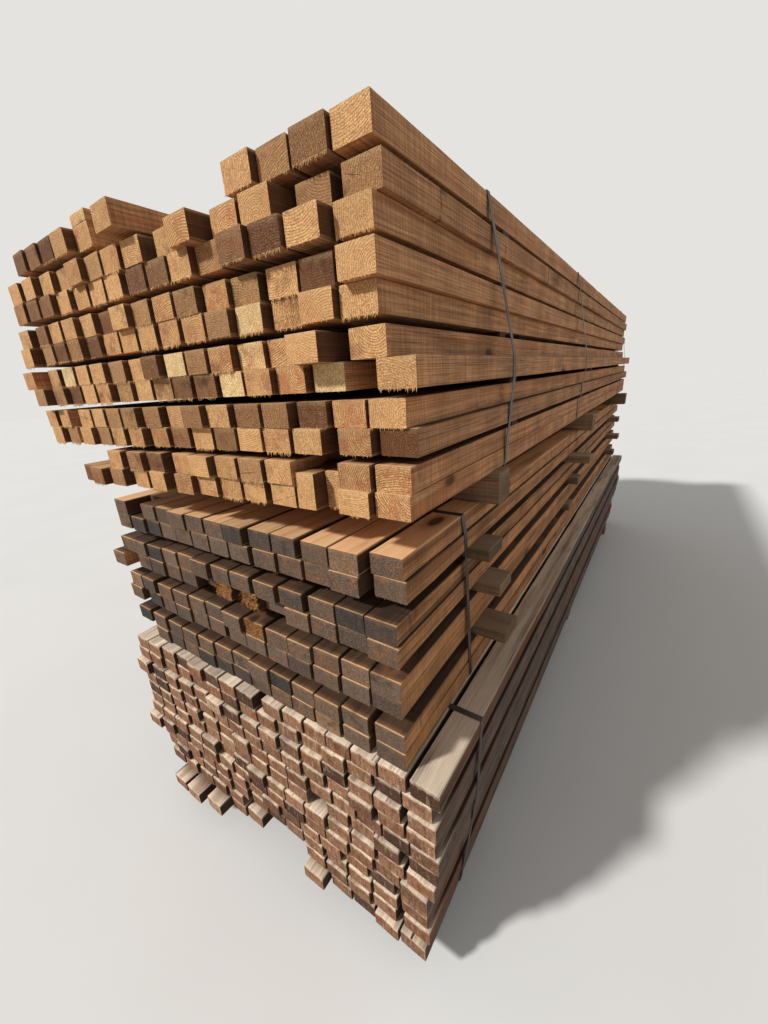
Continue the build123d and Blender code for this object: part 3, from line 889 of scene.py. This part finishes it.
def board_rows(pack, look, rows, seed, longest_fibre, open_reach):
    """Makes one piece for each row of a pack. Sun reaches open_reach in between two rows."""
    slot = f"{pack}_board"
    material = timber_material(slot, look)
    nodes = [f"{pack}_layer_{row:02d}" for row in range(1, rows + 1)]
    all_boxes = [solids_of(node) for node in nodes]
    for row, (node, boxes) in enumerate(zip(nodes, all_boxes), 1):
        mesh = TimberMesh()
        for place, (low, high) in enumerate(boxes):
            random = np.random.default_rng([seed, row, place])
            # Drawn for the odd boards too, so that the draws after it stay the same
            drawn = board_looks(random)
            board = ODD_BOARDS.get(node, {}).get(place, drawn)
            torn = TORN_ENDS.get((node, place), 0.0)
            shown = place in (0, len(boxes) - 1) or row in (1, rows)
            spacing = SHOWN_SPACING if shown else HIDDEN_SPACING
            # A board under a row gets painted shade on its top beyond the reach of the sun
            shaded_by_row = row < rows and covered(low, high, all_boxes[row])
            reach = open_reach if shaded_by_row else OPEN_ALL_OVER
            timber = Timber(low, high, random, look.arris, spacing, reach, neighbours(boxes, place),
                            torn=torn)
            timber.build(mesh, board)
            for far in (False, True):
                ragged = random.random() ** 1.6
                longest = longest_fibre * (0.4 + 0.6 * ragged)
                timber.fibres(mesh, board, round(look.fibres * ragged), longest, far)
            if torn:
                timber.splinters(mesh, board, SPLINTERS)
        mesh.piece(node + "_boards", material, slot, node)


class LUMBER_OT_upper_boards(bpy.types.Operator):
    """Make the golden boards of the upper pack, row by row"""

    bl_idname = "lumber.upper_boards"
    bl_label = "Upper Pack Boards"

    def execute(self, context):
        board_rows("upper", context.scene.lumber.upper, rows=11, seed=11, longest_fibre=0.011,
                   open_reach=0.02)
        return {"FINISHED"}


class LUMBER_OT_middle_boards(bpy.types.Operator):
    """Make the dark-ended boards of the middle pack, row by row"""

    bl_idname = "lumber.middle_boards"
    bl_label = "Middle Pack Boards"

    def execute(self, context):
        board_rows("middle", context.scene.lumber.middle, rows=8, seed=23, longest_fibre=0.005,
                   open_reach=0.004)
        return {"FINISHED"}


class LUMBER_OT_lower_boards(bpy.types.Operator):
    """Make the bleached boards of the lower pack, row by row"""

    bl_idname = "lumber.lower_boards"
    bl_label = "Lower Pack Boards"

    def execute(self, context):
        board_rows("lower", context.scene.lumber.lower, rows=12, seed=37, longest_fibre=0.004,
                   open_reach=0.05)
        return {"FINISHED"}


class LUMBER_OT_bearers(bpy.types.Operator):
    """Make the bearers, stickers, laths and the loose slat"""

    bl_idname = "lumber.bearers"
    bl_label = "Bearers and Spacers"

    def execute(self, context):
        looks = context.scene.lumber
        spacer = timber_material("spacer_timber", looks.bearers)
        # The laths: the spacers' timber darkened as painted shade
        thin = timber_material("lath_timber", looks.bearers, LATH_PAINTED_SHADE)
        sawn = timber_material("slat_timber", looks.upper)
        for kind, (node, slot, look, material) in enumerate((
                ("base_bearers", "bearer", looks.bearers, spacer),
                ("upper_bearers", "bearer", looks.bearers, spacer),
                ("middle_stickers", "sticker", looks.bearers, spacer),
                ("upper_laths", "lath", looks.bearers, thin),
                ("upper_slat", "lath", looks.upper, sawn))):
            mesh = TimberMesh()
            for place, (low, high) in enumerate(solids_of(node)):
                random = np.random.default_rng([SPACER_SEED, kind, place])
                timber = Timber(low, high, random, look.arris, SPACER_SPACING, OPEN_ALL_OVER,
                                crosswise=node != "upper_slat")
                timber.build(mesh, board_looks(random))
            mesh.piece(node + "_timber", material, slot, node)
        return {"FINISHED"}


class LUMBER_OT_straps(bpy.types.Operator):
    """Finish the straps and their crimped seals"""

    bl_idname = "lumber.straps"
    bl_label = "Straps and Seals"

    def execute(self, context):
        look = context.scene.lumber.straps
        strap = strap_material("strap_steel", look)
        seal = seal_material("seal_steel", look)
        for node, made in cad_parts.items():
            if "strap" in node:
                made.data.materials.clear()
                made.data.materials.append(seal if node == "strap_seals" else strap)
        return {"FINISHED"}


class LUMBER_OT_stage(bpy.types.Operator):
    """Set up the pale floor, the soft light and the camera"""

    bl_idname = "lumber.stage"
    bl_label = "Studio Stage"

    def execute(self, context):
        look = context.scene.lumber.stage
        scene = context.scene
        scene.view_settings.view_transform = "Standard"
        self.make_floor(scene, look)
        self.make_light(scene, look)
        self.make_camera(scene, look)
        return {"FINISHED"}

    def make_floor(self, scene, look):
        """A wide flat floor."""
        corners = [(FLOOR_REACH * x, FLOOR_REACH * y, 0.0) for x, y in ((-1, -1), (1, -1), (1, 1), (-1, 1))]
        mesh = bpy.data.meshes.new("floor")
        mesh.from_pydata(corners, [], [(0, 1, 2, 3)])
        mesh.materials.append(floor_material("floor", look))
        floor = bpy.data.objects.new("floor", mesh)
        scene.collection.objects.link(floor)

    def make_light(self, scene, look):
        """Light from all round, a main lamp high to the left of the near ends, and a pale background."""
        world = bpy.data.worlds.new("studio")
        world.use_nodes = True
        scene.world = world
        tree = world.node_tree
        tree.nodes.clear()
        output = tree.nodes.new("ShaderNodeOutputWorld")
        mix = tree.nodes.new("ShaderNodeMixShader")
        path = tree.nodes.new("ShaderNodeLightPath")
        shown = tree.nodes.new("ShaderNodeMath")
        shown.operation = "MAXIMUM"
        ambient = tree.nodes.new("ShaderNodeBackground")
        ambient.inputs["Color"].default_value = (1.0, 1.0, 1.0, 1.0)
        ambient.inputs["Strength"].default_value = look.ambient
        backdrop = tree.nodes.new("ShaderNodeBackground")
        backdrop.inputs["Color"].default_value = (*look.backdrop, 1.0)
        tree.links.new(path.outputs["Is Camera Ray"], shown.inputs[0])
        tree.links.new(path.outputs["Is Glossy Ray"], shown.inputs[1])
        tree.links.new(shown.outputs[0], mix.inputs[0])
        tree.links.new(ambient.outputs[0], mix.inputs[1])
        tree.links.new(backdrop.outputs[0], mix.inputs[2])
        tree.links.new(mix.outputs[0], output.inputs["Surface"])

        lamp = bpy.data.lights.new("key", "SUN")
        lamp.energy = look.key
        lamp.angle = look.softness
        key = bpy.data.objects.new("key", lamp)
        key.location = LAMP_DIRECTION
        key.rotation_euler = (-LAMP_DIRECTION).to_track_quat("-Z", "Y").to_euler()
        scene.collection.objects.link(key)

    def make_camera(self, scene, look):
        """The camera stands close to the near right corner, looks along the stack and a little down."""
        ahead = math.cos(PITCH)
        forward = Vector((math.sin(YAW) * ahead, math.cos(YAW) * ahead, math.sin(PITCH)))
        level = Vector((math.cos(YAW), -math.sin(YAW), 0.0))
        raised = level.cross(forward)
        right = math.cos(ROLL) * level + math.sin(ROLL) * raised
        upright = math.cos(ROLL) * raised - math.sin(ROLL) * level
        camera = bpy.data.cameras.new("camera")
        camera.sensor_width = 36.0
        camera.lens = look.lens
        camera.clip_end = 200.0
        viewer = bpy.data.objects.new("camera", camera)
        turned = Matrix((right, upright, -forward)).transposed().to_4x4()
        nearest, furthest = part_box("upper_bearers")
        eye = Vector((furthest.x + EYE_RIGHT_OF_BEARERS, nearest.y - EYE_IN_FRONT_OF_BEARERS, EYE_HEIGHT))
        viewer.matrix_world = Matrix.Translation(eye) @ turned
        scene.collection.objects.link(viewer)
        scene.camera = viewer


class LUMBER_PT_panel(bpy.types.Panel):
    """Makes the stack's pieces one after another"""

    bl_idname = "LUMBER_PT_panel"
    bl_label = "Stack of Lumber"
    bl_space_type = "VIEW_3D"
    bl_region_type = "UI"
    bl_category = "Lumber"

    def draw(self, context):
        for operator in OPERATORS:
            self.layout.operator(operator.bl_idname)
        settings = context.scene.lumber
        for group in ("upper", "middle", "lower", "bearers", "straps", "stage"):
            box = self.layout.box()
            box.label(text=settings.bl_rna.properties[group].name)
            look = getattr(settings, group)
            for name in look.__annotations__:
                box.prop(look, name)


OPERATORS = (LUMBER_OT_upper_boards, LUMBER_OT_middle_boards, LUMBER_OT_lower_boards, LUMBER_OT_bearers,
             LUMBER_OT_straps, LUMBER_OT_stage)
CLASSES = (UpperLook, MiddleLook, LowerLook, BearerLook, StrapLook, StageLook, LumberSettings, *OPERATORS,
           LUMBER_PT_panel)


def register():
    """Registers the classes and the scene's settings."""
    for made in CLASSES:
        bpy.utils.register_class(made)
    bpy.types.Scene.lumber = PointerProperty(type=LumberSettings)


def unregister():
    """Takes the settings and the classes away again."""
    del bpy.types.Scene.lumber
    for made in reversed(CLASSES):
        bpy.utils.unregister_class(made)


def main():
    """Makes every piece and the stage."""
    register()
    bpy.ops.lumber.upper_boards()
    bpy.ops.lumber.middle_boards()
    bpy.ops.lumber.lower_boards()
    bpy.ops.lumber.bearers()
    bpy.ops.lumber.straps()
    bpy.ops.lumber.stage()
    bpy.context.view_layer.update()


if __name__ == "__main__":
    main()
